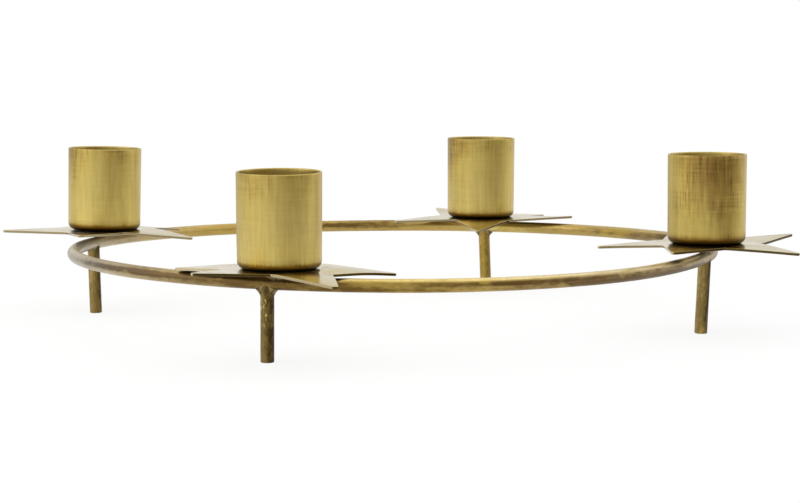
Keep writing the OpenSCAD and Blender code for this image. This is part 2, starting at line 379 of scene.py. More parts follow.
class NodeTree:
    """Adds nodes to a tree by name, and joins or sets their sockets in the same call."""

    def __init__(self, tree):
        self.tree = tree

    def add(self, kind, inputs=(), **settings):
        node = self.tree.nodes.new(kind)
        for name, value in settings.items():
            setattr(node, name, value)
        for key, value in dict(inputs).items():
            self.join(node.inputs[key], value)
        return node

    def join(self, socket, value):
        """Links a node or a socket to a socket, or sets the socket to a plain value."""
        if isinstance(value, bpy.types.Node):
            value = value.outputs[0]
        if isinstance(value, bpy.types.NodeSocket):
            self.tree.links.new(value, socket)
        else:
            socket.default_value = value

    def math(self, operation, *values):
        node = self.add("ShaderNodeMath", enumerate(values), operation=operation)
        return node.outputs[0]

    def plus(self, *values):
        return self.math("ADD", *values)

    def less(self, *values):
        return self.math("SUBTRACT", *values)

    def times(self, *values):
        return self.math("MULTIPLY", *values)

    def largest(self, first, *others):
        for other in others:
            first = self.math("MAXIMUM", first, other)
        return first

    def parts(self, vector):
        """The X, Y and Z of a vector."""
        return self.add("ShaderNodeSeparateXYZ", {0: vector}).outputs

    def vector(self, x, y, z):
        return self.add("ShaderNodeCombineXYZ", {0: x, 1: y, 2: z})

    def ramp(self, value, low, high, to_low=0.0, to_high=1.0, kind="SMOOTHSTEP"):
        """The value spread from low..high to to_low..to_high, smoothly, and no further."""
        inputs = {0: value, 1: low, 2: high, 3: to_low, 4: to_high}
        return self.add("ShaderNodeMapRange", inputs, interpolation_type=kind).outputs[0]

    def mix(self, share, first, second, blend="MIX"):
        """The first colour, turned into the second or blended with it as far as the share says."""
        # The node has its share in socket 0 and its two colours in sockets 6 and 7
        inputs = {0: share, 6: first, 7: second}
        return self.add("ShaderNodeMix", inputs, data_type="RGBA", blend_type=blend).outputs[2]


class GeometryTree(NodeTree):
    """A Geometry Nodes tree with named inputs, which ends in an uneven skin of one material."""

    SHARED = (
        ("Lumps", "Float", 0.0),
        ("Lump Scale", "Float", 200.0),
        ("Seed", "Float", 0.0),
        ("Material", "Material", None),
    )

    def __init__(self, name, *inputs):
        """Takes its own inputs, each with its name, kind and default."""
        super().__init__(bpy.data.node_groups.new(name, "GeometryNodeTree"))
        sockets = self.tree.interface
        for label, kind, default in (("Geometry", "Geometry", None), *inputs, *self.SHARED):
            item = sockets.new_socket(
                name=label, in_out="INPUT", socket_type=f"NodeSocket{kind}"
            )
            if default is not None:
                item.default_value = default
        sockets.new_socket(name="Geometry", in_out="OUTPUT", socket_type="NodeSocketGeometry")
        self.given = self.add("NodeGroupInput").outputs

    def position(self):
        return self.add("GeometryNodeInputPosition").outputs[0]

    def named(self, name, data_type):
        """The value of a named attribute."""
        node = self.add("GeometryNodeInputNamedAttribute", {"Name": name}, data_type=data_type)
        return next(socket for socket in node.outputs if socket.enabled)

    def keep(self, geometry, name, data_type, value):
        """Keeps a value on the geometry's points under a name."""
        node = self.add(
            "GeometryNodeStoreNamedAttribute",
            {"Geometry": geometry, "Name": name},
            data_type=data_type,
            domain="POINT",
        )
        socket = next(item for item in node.inputs if item.name == "Value" and item.enabled)
        self.join(socket, value)
        return node

    def moved(self, geometry, **place):
        """Sets the points of a geometry to a Position, or moves them by an Offset."""
        return self.add("GeometryNodeSetPosition", {"Geometry": geometry, **place})

    def along_normal(self, distance):
        normal = self.add("GeometryNodeInputNormal")
        return self.add(
            "ShaderNodeVectorMath", {0: normal, "Scale": distance}, operation="SCALE"
        )

    def welded(self, geometry):
        return self.add("GeometryNodeMergeByDistance", {"Geometry": geometry, "Distance": WELD})

    def finish(self, geometry):
        """Ends the tree: an uneven skin, made real and smooth, in its material."""
        noise = self.add(
            "ShaderNodeTexNoise",
            {
                "Vector": self.position(),
                "W": self.given["Seed"],
                "Scale": self.given["Lump Scale"],
                "Detail": 2.0,
            },
            noise_dimensions="4D",
        )
        height = self.times(self.less(noise, 0.5), self.times(self.given["Lumps"], 2.0))
        uneven = self.moved(geometry, Offset=self.along_normal(height))
        real = self.add("GeometryNodeRealizeInstances", {"Geometry": uneven})
        smooth = self.add("GeometryNodeSetShadeSmooth", {"Geometry": real})
        coated = self.add(
            "GeometryNodeSetMaterial", {"Geometry": smooth, "Material": self.given["Material"]}
        )
        self.add("NodeGroupOutput", {"Geometry": coated})
        return self.tree


def turned_tree():
    """Turns a section, a line of points in the XZ plane, once round Z."""
    tree = GeometryTree("Turned piece", ("Facets", "Int", 144))
    section = tree.given["Geometry"]
    rows = tree.add("GeometryNodeAttributeDomainSize", {"Geometry": section}).outputs[0]
    columns = tree.plus(tree.given["Facets"], 1.0)
    grid = tree.add(
        "GeometryNodeMeshGrid",
        {"Size X": 1.0, "Size Y": 1.0, "Vertices X": columns, "Vertices Y": rows},
    )
    across, up, _ = tree.parts(tree.position())
    turn = tree.times(tree.plus(across, 0.5), math.tau)
    row = tree.math("ROUND", tree.times(tree.plus(up, 0.5), tree.less(rows, 1.0)))
    sample = tree.add("GeometryNodeSampleIndex", data_type="FLOAT_VECTOR", domain="POINT")
    for name, value in (("Geometry", section), ("Value", tree.position()), ("Index", row)):
        tree.join(sample.inputs[name], value)
    radius, _, height = tree.parts(sample)
    turned = tree.vector(
        tree.times(radius, tree.math("COSINE", turn)),
        tree.times(radius, tree.math("SINE", turn)),
        height,
    )
    return tree.finish(tree.welded(tree.moved(grid, Position=turned)))


def rod_tree():
    """Runs round rod along a path. Each point of the path says its share of the rod's radius."""
    tree = GeometryTree("Rod on a path", ("Diameter", "Float", ROD_D), ("Facets", "Int", 40))
    curve = tree.add("GeometryNodeMeshToCurve", {"Mesh": tree.given["Geometry"]})
    run = tree.add("GeometryNodeSplineParameter").outputs["Length"]
    curve = tree.keep(curve, "run", "FLOAT", run)
    radius = tree.math("DIVIDE", tree.given["Diameter"], 2.0)
    section = tree.add(
        "GeometryNodeCurvePrimitiveCircle",
        {"Resolution": tree.given["Facets"], "Radius": radius},
    )
    section = tree.keep(section, "strand", "FLOAT_VECTOR", tree.position())
    rod = tree.add(
        "GeometryNodeCurveToMesh",
        {
            "Curve": curve,
            "Profile Curve": section,
            "Scale": tree.named("share", "FLOAT"),
            "Fill Caps": True,
        },
    )
    across = tree.parts(tree.named("strand", "FLOAT_VECTOR"))
    strand = tree.vector(across[0], across[1], tree.named("run", "FLOAT"))
    return tree.finish(tree.welded(tree.keep(rod, "strand", "FLOAT_VECTOR", strand)))


def braze_tree():
    """Melts balls of braze, one at each point, into one lump. Each point says its ball's size."""
    tree = GeometryTree(
        "Braze",
        ("Grain", "Float", 0.16 * MM),
        ("Relax", "Int", 12),
        ("Swell", "Float", 0.15 * MM),
    )
    ball = tree.add("GeometryNodeMeshIcoSphere", {"Radius": 1.0, "Subdivisions": 4})
    balls = tree.add(
        "GeometryNodeInstanceOnPoints",
        {
            "Points": tree.given["Geometry"],
            "Instance": ball,
            "Scale": tree.named("size", "FLOAT_VECTOR"),
        },
    )
    real = tree.add("GeometryNodeRealizeInstances", {"Geometry": balls})
    volume = tree.add(
        "GeometryNodeMeshToVolume",
        {"Mesh": real, "Interior Band Width": 10 * MM, "Voxel Size": tree.given["Grain"]},
        resolution_mode="VOXEL_SIZE",
    )
    cast = tree.add(
        "GeometryNodeVolumeToMesh", {"Volume": volume, "Threshold": 0.1}, resolution_mode="GRID"
    )
    relaxed = tree.add(
        "GeometryNodeBlurAttribute",
        {"Value": tree.position(), "Iterations": tree.given["Relax"]},
        data_type="FLOAT_VECTOR",
    )
    soft = tree.moved(cast, Position=relaxed)
    return tree.finish(tree.moved(soft, Offset=tree.along_normal(tree.given["Swell"])))


def added(name, data):
    """A new object in the scene."""
    obj = bpy.data.objects.new(name, data)
    bpy.context.scene.collection.objects.link(obj)
    return obj


def outward(mesh):
    """Turns a closed mesh's faces outwards."""
    shape = bmesh.new()
    shape.from_mesh(mesh)
    if shape.calc_volume(signed=True) < 0:
        bmesh.ops.reverse_faces(shape, faces=shape.faces)
        shape.to_mesh(mesh)
    shape.free()


def plain_mesh(obj):
    """Turns an object's modifiers into a plain mesh, faces outwards, and takes them off."""
    depsgraph = bpy.context.evaluated_depsgraph_get()
    mesh = bpy.data.meshes.new_from_object(
        obj.evaluated_get(depsgraph), preserve_all_data_layers=True, depsgraph=depsgraph
    )
    obj.modifiers.clear()
    obj.data = mesh
    outward(mesh)


def grown(tree, name, points, material, lumps, attributes=(), linked=True, **inputs):
    """A plain mesh object that a tree grows from points, linked in a row if not said otherwise.

    Its skin is uneven as the lumps say, by their height, their scale and a seed.
    """
    inputs.update(zip(("Lumps", "Lump Scale", "Seed"), lumps), Material=material)
    edges = [(k, k + 1) for k in range(len(points) - 1)] if linked else []
    mesh = bpy.data.meshes.new(name)
    mesh.from_pydata([tuple(point) for point in points], edges, [])
    for key, kind, values in attributes:
        layer = mesh.attributes.new(key, kind, "POINT")
        field = "vector" if kind == "FLOAT_VECTOR" else "value"
        layer.data.foreach_set(field, np.asarray(values, np.float32).ravel())
    obj = added(name, mesh)
    modifier = obj.modifiers.new("Shape", "NODES")
    modifier.node_group = tree
    for item in tree.interface.items_tree:
        if item.item_type == "SOCKET" and item.in_out == "INPUT" and item.name in inputs:
            modifier[item.identifier] = inputs[item.name]
    plain_mesh(obj)
    return obj


def place_mesh(obj, matrix):
    """Moves an object's mesh, and leaves the object itself at the origin."""
    obj.data.transform(matrix)


def paint(obj, name, rule, *values):
    """Keeps a rule's share at each point of a piece, under a name that its finish reads."""
    mesh = obj.data
    found = [rule(vertex.co, vertex.normal, *values) for vertex in mesh.vertices]
    layer = mesh.attributes.new(name, "FLOAT", "POINT")
    layer.data.foreach_set("value", np.asarray(found, np.float32))


def even(place, normal, share):
    """The same share at each point."""
    return share


def facing(normal, direction):
    """How squarely a wall faces a direction, from -1 to 1."""
    return math.cos(math.atan2(normal.y, normal.x) - direction)


def join_holder(obj, node):
    """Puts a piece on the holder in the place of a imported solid."""
    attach(obj, BODY)
    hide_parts(node)


class Finish(NodeTree):
    """A brass finish, built up from noises in the piece's own space and from what is painted on it.

    Where it takes a colour, it takes the name of one in HolderFinish too.
    """

    def __init__(self, name, glance=None):
        """The glance is the name of the colour that the metal tends to when seen edgewise."""
        self.material = bpy.data.materials.new(name)
        self.material.use_nodes = True
        super().__init__(self.material.node_tree)
        self.shader = self.tree.nodes["Principled BSDF"].inputs
        self.shader["Metallic"].default_value = 1.0
        if glance:
            self.shader["Specular Tint"].default_value = self.tone(glance)
        self.space = self.add("ShaderNodeTexCoord").outputs["Object"]
        # The painted share read here is rubbing, and on the hoop, legs, cups and brazes painted light
        # and shade as well
        self.rub_and_light = self.painted("rub_and_light")

    def tone(self, value):
        """A colour by its name, or a socket as it is."""
        if isinstance(value, str):
            return (*getattr(bpy.context.scene.holder_finish, value), 1.0)
        return value

    def painted(self, name):
        """What is painted on the piece under a name."""
        return self.add("ShaderNodeAttribute", attribute_name=name).outputs["Fac"]

    def along_rod(self):
        """Reads the noises in the rod's own coordinates: across it in X and Y, along it in Z."""
        self.space = self.add("ShaderNodeAttribute", attribute_name="strand").outputs["Vector"]

    def noise(self, scale, stretch=(1, 1, 1), detail=4.0, roughness=0.6, distortion=0.0):
        """Noise with features of about 1 / scale metres, times the stretch's inverse."""
        inputs = {
            "Vector": self.add("ShaderNodeMapping", {"Vector": self.space, "Scale": stretch}),
            "Scale": scale,
            "Detail": detail,
            "Roughness": roughness,
            "Distortion": distortion,
        }
        return self.add("ShaderNodeTexNoise", inputs).outputs[0]

    def swayed(self, value, noise, reach):
        """The value moved up and down by a noise."""
        return self.plus(value, self.times(self.less(noise, 0.5), reach))

    def mix(self, share, first, second, blend="MIX"):
        return super().mix(share, self.tone(first), self.tone(second), blend)

    def greyed(self, share, first):
        """The first colour, duller and greyer as far as the share says."""
        inputs = {"Saturation": 0.45, "Value": 0.9, "Fac": share, "Color": first}
        return self.add("ShaderNodeHueSaturation", inputs).outputs[0]

    def bump(self, height, distance, strength, under=None):
        """A relief of a height, on top of another relief if there is one under it."""
        inputs = {"Height": height, "Distance": distance, "Strength": strength}
        if under is not None:
            inputs["Normal"] = under
        return self.add("ShaderNodeBump", inputs).outputs[0]

    def done(self, base, roughness, normal):
        self.join(self.shader["Base Color"], base)
        self.join(self.shader["Roughness"], roughness)
        self.join(self.shader["Normal"], normal)
        return self.material


def cup_finish():
    """Satin brass: brushed round the cup, with streaks of brown patina down the wall."""
    finish = Finish("cup_brass")
    clouds = finish.noise(90, detail=4)
    patches = finish.noise(160, detail=2)
    streaks = finish.noise(700, (1, 1, 0.06), detail=3, roughness=0.5)
    lines = finish.noise(1400, (1, 1, 0.08), detail=2, roughness=0.4)
    rings = finish.noise(1400, (0.06, 0.06, 1), detail=3, roughness=0.6)
    weave = finish.plus(finish.times(lines, 0.62), finish.times(rings, 0.38))
    worn = finish.swayed(finish.swayed(1.0, streaks, 0.4), clouds, 0.6)
    patchy = finish.ramp(patches, 0.4, 0.6, 0.4, 1.0)
    patchy = finish.times(finish.ramp(finish.rub_and_light, 0.5, 1.0, 1.1, 0.3), patchy)
    brushed = finish.times(finish.ramp(finish.rub_and_light, 0.2, 0.5), patchy)
    worn = finish.swayed(finish.times(finish.rub_and_light, worn), weave, brushed)
    base = finish.mix(finish.ramp(clouds, 0.38, 0.68, 0.0, 0.5), "bright", "straw")
    base = finish.mix(finish.ramp(weave, 0.4, 0.6, 0.14, 0.0), base, "brown")
    base = finish.mix(finish.ramp(worn, 0.9, 1.25, 0.0, 0.9), base, "gleam")
    base = finish.mix(finish.ramp(worn, 0.6, 0.95, 0.9, 0.0), base, "straw")
    base = finish.mix(finish.ramp(worn, 0.3, 0.75, 0.9, 0.0), base, "brown")
    base = finish.mix(finish.ramp(worn, 0.05, 0.4, 0.95, 0.0), base, "dark")
    roughness = finish.plus(finish.ramp(clouds, 0.3, 0.75, 0.29, 0.36), finish.times(rings, 0.08))
    normal = finish.bump(rings, 0.02 * MM, 0.6)
    return finish.done(base, roughness, finish.bump(lines, 0.02 * MM, 0.5, normal))


def star_finish():
    """Golden sheet with fine scratches and clouds of tarnish; its cut edges painted pale towards the
    key lamp and dark away from it.
    """
    finish = Finish("star_brass", "plate_glance")
    clouds = finish.noise(110, detail=4)
    scratches = finish.noise(1300, (1, 0.06, 1), detail=4)
    specks = finish.noise(1700, detail=3)
    base = finish.mix(finish.ramp(clouds, 0.42, 0.7, 0.0, 0.7), "plate", "straw")
    base = finish.mix(finish.ramp(specks, 0.5, 0.8, 0.0, 0.25), base, "brown")
    # Cut edges painted pale as highlight where they face the key lamp, and dark as shade where they
    # face away
    rim = finish.mix(finish.painted("rim"), "edge", "highlight_cream")
    face = finish.ramp(finish.swayed(finish.rub_and_light, clouds, 0.3), 0.3, 0.75)
    base = finish.mix(face, rim, base)
    roughness = finish.ramp(clouds, 0.3, 0.7, 0.1, 0.18)
    roughness = finish.plus(roughness, finish.times(scratches, 0.05))
    return finish.done(base, roughness, finish.bump(scratches, 0.01 * MM, 0.3))


def rod_finish(name, rubbed, middling, deep, mottle):
    """Drawn rod, dipped dark and rubbed back: streaks run along it, and its rubbed side shines, with
    highlight painted on its lit side and top.
    """
    finish = Finish(name)
    finish.along_rod()
    streaks = finish.noise(650, (1, 1, 0.05), detail=4, roughness=0.55)
    reaches = finish.noise(40, (0.3, 0.3, 1), detail=2)
    patches = finish.noise(60, (2, 2, 1), detail=3)
    specks = finish.noise(1500, (1, 1, 0.5), detail=4, roughness=0.65)
    blotches = finish.noise(850, (1, 1, 0.4), detail=5, roughness=0.65)
    flakes = finish.noise(1000, (1, 1, 0.6), detail=3)
    worn = finish.swayed(finish.swayed(finish.rub_and_light, streaks, 0.5), reaches, 0.5)
    worn = finish.swayed(worn, finish.ramp(blotches, 0.36, 0.64), mottle)
    base = finish.mix(finish.ramp(worn, 0.1, 0.5), deep, middling)
    base = finish.mix(finish.ramp(worn, 0.5, 1.0), base, rubbed)
    base = finish.mix(finish.ramp(patches, 0.56, 0.68, 0.0, 0.6), base, "straw")
    base = finish.mix(finish.ramp(specks, 0.55, 0.75, 0.0, 0.4), base, "dark")
    base = finish.mix(finish.painted("gold"), base, "gold", "MULTIPLY")
    chipped = finish.times(finish.painted("chips"), finish.ramp(flakes, 0.52, 0.6))
    # Greyed where a reflection of the pale room is painted on the hoop
    base = finish.greyed(finish.painted("reflection_grey"), finish.mix(chipped, base, "gleam"))
    roughness = finish.plus(finish.ramp(worn, 0.2, 0.9, 0.34, 0.24), finish.times(specks, 0.1))
    normal = finish.bump(specks, 0.03 * MM, 0.4)
    return finish.done(base, roughness, finish.bump(streaks, 0.03 * MM, 0.4, normal))


def rivet_finish():
    """Brass worn by handling, with brown blooms."""
    finish = Finish("rivet_brass")
    blooms = finish.noise(400, detail=5)
    specks = finish.noise(1500, detail=4, roughness=0.7)
    base = finish.mix(finish.ramp(blooms, 0.4, 0.65), "straw", "brown")
    roughness = finish.ramp(blooms, 0.3, 0.7, 0.28, 0.4)
    return finish.done(base, roughness, finish.bump(specks, 0.04 * MM, 0.5))


def braze_finish():
    """The one finish of all the braze: dark scale, rubbed through to bright brass in places."""
    if "braze" in bpy.data.materials:
        return bpy.data.materials["braze"]
    finish = Finish("braze", "braze_glance")
    blooms = finish.noise(500, detail=5, roughness=0.6, distortion=0.3)
    specks = finish.noise(1300, detail=4, roughness=0.7)
    worn = finish.swayed(finish.rub_and_light, finish.ramp(blooms, 0.35, 0.65), 0.5)
    base = finish.mix(finish.ramp(worn, 0.1, 0.5), "dark", "brown")
    base = finish.mix(finish.ramp(worn, 0.5, 1.0), base, "gleam")
    base = finish.mix(finish.ramp(specks, 0.55, 0.7, 0.0, 0.2), base, "olive")
    base = finish.mix(finish.painted("gold"), base, "gold", "MULTIPLY")
    roughness = finish.ramp(blooms, 0.3, 0.7, 0.36, 0.5)
    return finish.done(base, roughness, finish.bump(specks, 0.05 * MM, 0.5))


def hoop_rub_and_light(place, normal, sizes):
    """How far the hoop is rubbed, with painted light: on its top, its underside and its sides by a
    list each.
    """
    lists = (sizes.hoop_side_rub_and_shade, sizes.hoop_crest_rub_and_highlight, sizes.hoop_under_rub_and_reflection)
    theta = math.atan2(place.y, place.x)
    side, top, below = (round_value(values, theta) for values in lists)
    # Wear and painted light: the top is painted as highlight, the underside as a reflection of the
    # floor, the sides darker as painted shade
    crest = between(normal.z, 0.42, 0.74)
    under = between(-normal.z, -0.05, 0.5)
    return side + (top - side) * crest + (below - side) * under


def round_share(place, normal, values):
    """The share at a place on the hoop, of a list that runs round it."""
    return min(1.0, max(0.0, round_value(values, math.atan2(place.y, place.x))))


def hoop_run(start, end, steps):
    """Points of the hoop's centreline at even steps from one angle to another."""
    return [hoop_point(start + (end - start) * k / steps) for k in range(steps + 1)]


class HOLDER_OT_hoop(bpy.types.Operator):
    """Makes the hoop of bent rod and the braze on its butt joint"""

    bl_idname = "holder.hoop"
    bl_label = "Hoop"
    bl_options = {"REGISTER", "UNDO"}

    def execute(self, context):
        sizes = context.scene.holder_sizes
        tree = rod_tree()
        joint = STATION_ANGLES["rear"]
        half = sizes.seam_length / 2 / sizes.hoop_radius
        self.make_rod(sizes, tree, joint, half * 0.2)
        self.make_seam(sizes, tree, joint, half)
        return {"FINISHED"}

    def make_rod(self, sizes, tree, joint, gap):
        """Bends the hoop round from one side of its joint to the other."""
        steps = 900
        hoop = grown(
            tree,
            "hoop_rod",
            hoop_run(joint + gap, joint - gap + math.tau, steps),
            rod_finish("hoop_brass", "highlight_cream", "tan", "umber", mottle=0.1),
            (sizes.hoop_lumps, 90.0, 3.0),
            [("share", "FLOAT", [1.0] * (steps + 1))],
            Diameter=sizes.rod_diameter,
            Facets=32,
        )
        paint(hoop, "rub_and_light", hoop_rub_and_light, sizes)
        paint(hoop, "gold", round_share, sizes.hoop_golds)
        # A painted reflection of the pale room greys the rod round the left
        paint(hoop, "reflection_grey", round_share, sizes.hoop_reflection_greys)
        join_holder(hoop, "hoop")

    def make_seam(self, sizes, tree, joint, half):
        """Swells a bead of braze out of the rod over its joint."""
        steps = 24
        start = 0.97
        crown = 1 + sizes.braze_swell * 0.7 / (sizes.rod_diameter / 2)
        bead = [start + (crown - start) * math.sin(math.pi * k / steps) for k in range(steps + 1)]
        seam = grown(
            tree,
            "hoop_seam_bead",
            hoop_run(joint - half, joint + half, steps),
            braze_finish(),
            (sizes.seam_lumps, 600.0, 8.0),
            [("share", "FLOAT", bead)],
            Diameter=sizes.rod_diameter,
            Facets=48,
        )
        paint(seam, "rub_and_light", hoop_rub_and_light, sizes)
        join_holder(seam, "hoop_seam")


def leg_rub_and_light(place, normal, sizes, i):
    """How far a leg is rubbed, painted lighter on the side that faces the key lamp and darker on the
    other.
    """
    return sizes.leg_rubs[i] + sizes.leg_lit_sides[i] * facing(normal, sizes.leg_lit_face)


def leg_chip(place, normal, sizes, i):
    """How bright a leg's chips are: they lie on its side that faces the key lamp, in a band near its
    top.
    """
    height = place.z / sizes.hoop_height
    band = between(height, 0.42, 0.55) * (1 - between(height, 0.78, 0.86))
    return sizes.leg_chips[i] * between(facing(normal, sizes.leg_lit_face), 0.1, 0.6) * band


def stand_on_floor(mesh):
    """Sets a leg's lowest ring of points on the floor, as its sawn end stands."""
    for vertex in mesh.vertices:
        vertex.co.z = max(vertex.co.z, 0.0)


class HOLDER_OT_legs(bpy.types.Operator):
    """Makes the four legs: short sawn rods that stand under the hoop"""

    bl_idname = "holder.legs"
    bl_label = "Legs"
    bl_options = {"REGISTER", "UNDO"}

    def execute(self, context):
        sizes = context.scene.holder_sizes
        tree = rod_tree()
        finish = rod_finish("leg_brass", "tan", "olive", "dark", mottle=0.2)
        radius = sizes.rod_diameter / 2
        chamfer = sizes.foot_chamfer
        # The rod ends inside the hoop, and starts where its leaning axis meets the floor
        top = -0.4 * radius
        rows = 60
        for i, name in enumerate(STATIONS):
            place = leg_place(name)
            foot = -place.translation.z / place.col[2].z
            shank = foot + chamfer
            heights = [foot, foot + 0.4 * chamfer]
            heights += [shank + (top - shank) * k / rows for k in range(rows + 1)]
            radii = [1 - chamfer / radius, 1 - 0.4 * chamfer / radius] + [1.0] * (rows + 1)
            leg = grown(
                tree,
                f"leg_rod_{name}",
                [(0, 0, height) for height in heights],
                finish,
                (sizes.leg_lumps, 260.0, 11.0 + 5 * i),
                [("share", "FLOAT", radii)],
                Diameter=sizes.rod_diameter,
                Facets=40,
            )
            place_mesh(leg, place)
            stand_on_floor(leg.data)
            paint(leg, "rub_and_light", leg_rub_and_light, sizes, i)
            paint(leg, "gold", even, sizes.leg_golds[i])
            paint(leg, "chips", leg_chip, sizes, i)
            join_holder(leg, f"leg_{name}")
        return {"FINISHED"}


def along_hoop(sizes, centre, count):
    """Even places on both sides of a joint: how far out each lies, from 0 to 1, and its angle."""
    for k in range(-count, count + 1):
        share = abs(k) / count
        yield share, centre + share * math.copysign(sizes.braze_reach, k) / sizes.hoop_radius


def leg_braze_balls(sizes, name, draw):
    """Balls of braze round a leg's top: along the hoop, then down the leg in a hollow.

    Each ball has a place and its radius in X, Y and Z. The draw makes them uneven.
    """
    i = STATIONS.index(name)
    rod = sizes.rod_diameter / 2
    swell = sizes.braze_swell
    balls = []
    # A sleeve on the hoop, thickest over the leg, whose ends sink into the rod
    sink = 0.12 * MM
    for share, theta in along_hoop(sizes, STATION_ANGLES[name] + sizes.leg_turns[i], 20):
        radius = rod + swell * (1 - share) ** 0.7 - sink * share
        radius += draw.uniform(-1, 1) * 0.04 * MM
        spot = hoop_point(theta) - Vector((0, 0, swell * 0.8))
        balls.append((spot, (radius,) * 3))
    # Discs down the leg, whose edges follow a hollow curve from the hoop to the leg
    place = leg_place(name)
    fillet = sizes.braze_fillets[i]
    layers = 30
    hollow = 1.9
    for k in range(layers + 4):
        depth = rod * 0.8 + (fillet + rod * 0.2) * k / layers
        below = min(1.0, max(0.0, (depth - rod) / fillet))
        flare = fillet * (1 - (1 - (1 - below) ** hollow) ** (1 / hollow))
        across = rod + 0.02 * flare + draw.uniform(0, 0.06) * MM
        along = rod + flare + draw.uniform(0, 0.08) * MM
        half = (0.3 + 0.4 * flare / fillet) * MM
        flat = (along, across) if name in ("front", "rear") else (across, along)
        balls.append((place @ Vector((0, 0, half - depth)), (*flat, half)))
    return balls


def star_braze_balls(sizes, name, draw):
    """Balls of braze that sleeve the hoop under a star and fill the gap up to its underside."""
    rod = sizes.rod_diameter / 2
    swell = sizes.braze_swell * 0.7
    sink = 0.1 * MM
    underside = on_star(name).translation.z - sizes.sheet
    balls = []
    for share, theta in along_hoop(sizes, STATION_ANGLES[name], 16):
        spot = hoop_point(theta)
        radius = rod + swell * (1 - share) ** 0.6 - sink * share
        radius += draw.uniform(-1, 1) * 0.06 * MM
        balls.append((spot + Vector((0, 0, 0.25 * MM)), (radius,) * 3))
        if share < 0.85:
            top = underside + 0.1 * MM - draw.uniform(0, 0.1) * MM
            bottom = spot.z + rod * 0.3
            wide = rod * (0.95 - 0.35 * share) + draw.uniform(-0.1, 0.1) * MM
            middle = Vector((spot.x, spot.y, (top + bottom) / 2))
            balls.append((middle, (wide, wide, (top - bottom) / 2)))
    return balls


def braze_rub_and_shade(place, normal, sizes, i):
    """How far a braze is rubbed, with painted shade down the leg under the hoop."""
    under = sizes.hoop_height - sizes.rod_diameter / 2
    # Painted shade under the hoop, down the leg
    under_shade = 1 - between(place.z, under - 1.2 * MM, under + 0.6 * MM)
    return sizes.braze_rubs[i] - sizes.braze_under_shades[i] * under_shade


class HOLDER_OT_brazes(bpy.types.Operator):
    """Makes the lumpy brazing at the legs and under the stars"""

    bl_idname = "holder.brazes"
    bl_label = "Brazes"
    bl_options = {"REGISTER", "UNDO"}

    def execute(self, context):
        sizes = context.scene.holder_sizes
        tree = braze_tree()
        for i, name in enumerate(STATIONS):
            draw = np.random.default_rng(40 + i)
            for kind, shape, build, seed in (
                ("leg_braze", "fillet", leg_braze_balls, i),
                ("star_braze", "pad", star_braze_balls, len(STATIONS) + i),
            ):
                places, radii = zip(*build(sizes, name, draw))
                braze = grown(
                    tree,
                    f"{kind}_{shape}_{name}",
                    places,
                    braze_finish(),
                    (sizes.braze_lumps, 420.0, float(seed)),
                    [("size", "FLOAT_VECTOR", radii)],
                    linked=False,
                    Grain=sizes.braze_grain,
                    Relax=5,
                )
                paint(braze, "rub_and_light", braze_rub_and_shade, sizes, i)
                paint(braze, "gold", even, sizes.braze_golds[i])
                join_holder(braze, f"{kind}_{name}")
        return {"FINISHED"}


def star_outline(sizes):
    """Points round a flat star, counterclockwise from the notch clockwise of straight outward."""
    arc_steps = 5
    flank_steps = 16
    blunt = sizes.star_radius - sizes.point_radius
    notch = Vector((math.cos(FIFTH / 2), math.sin(FIFTH / 2))) * sizes.notch_radius
    run = math.hypot(blunt - notch.x, notch.y)
    slope = math.atan2(notch.y, blunt - notch.x) - math.asin(sizes.point_radius / run)
    tip = []
    for k in range(-arc_steps, arc_steps + 1):
        turn = (math.pi / 2 - slope) * k / arc_steps
        edge = Vector((math.cos(turn), math.sin(turn))) * sizes.point_radius
        tip.append(Vector((blunt, 0)) + edge)
    low_notch = Vector((notch.x, -notch.y))
    fifth = [low_notch.lerp(tip[0], k / flank_steps) for k in range(flank_steps)]
    fifth += tip + [tip[-1].lerp(notch, k / flank_steps) for k in range(1, flank_steps)]
    turns = [Matrix.Rotation((k - 0.5) * FIFTH, 2) for k in range(5)]
    return [turn @ point for turn in turns for point in fifth]


def star_rise(sizes, i, x, y):
    """How high a star's sheet lies at a place on it: bent points, a dented notch and ripples."""
    crease = sizes.notch_radius * math.cos(FIFTH / 2) + sizes.crease_out
    softness = 0.08
    rise = 0.0
    for k, lift in enumerate(getattr(sizes, f"lifts_{STATIONS[i]}")):
        turn = (k - 0.5) * FIFTH
        along = x * math.cos(turn) + y * math.sin(turn)
        t = max(0.0, (along - crease) / (sizes.star_radius - crease))
        rise += lift * t * t / (t + softness) * (1 + softness)
    away = math.remainder(math.atan2(y, x) - FIFTH, math.tau)
    beyond = between(math.hypot(x, y), sizes.cup_diameter / 2, sizes.notch_radius)
    rise -= sizes.notch_drops[i] * beyond * math.exp(-((away / sizes.notch_spread) ** 2))
    # The ripples are about 30 mm apart, and lie differently on each star
    wave = math.sin(210 * x + 1.7 * (i + 1)) * math.sin(190 * y + 2.3 * (i + 1))
    return rise + sizes.sheet_ripple * wave


def star_mesh(name, sizes, i):
    """A star of bent sheet with a hole for the rivet. It lies round the origin, top at zero."""
    off = Matrix.Rotation(-sizes.star_turns[i], 2) @ Vector((0, sizes.star_shifts[i]))
    outline = [point + off for point in star_outline(sizes)]
    count = len(outline)
    points = []
    for side in (0.0, -sizes.sheet):
        for share in STAR_RINGS:
            for spot in outline:
                hole = spot.normalized() * (sizes.rivet_shank / 2)
                x, y = hole.lerp(spot, share)
                points.append((x, y, star_rise(sizes, i, x, y) + side))
    top = [k * count for k in range(len(STAR_RINGS))]
    under = [first + len(points) // 2 for first in top]
    rings = top + under[::-1]
    sides = [(k, (k + 1) % count) for k in range(count)]
    faces = [
        (here + a, there + a, there + b, here + b)
        for here, there in zip(rings, rings[1:] + rings[:1])
        for a, b in sides
    ]
    mesh = bpy.data.meshes.new(name)
    mesh.from_pydata(points, [], faces)
    mesh.validate()
    return mesh


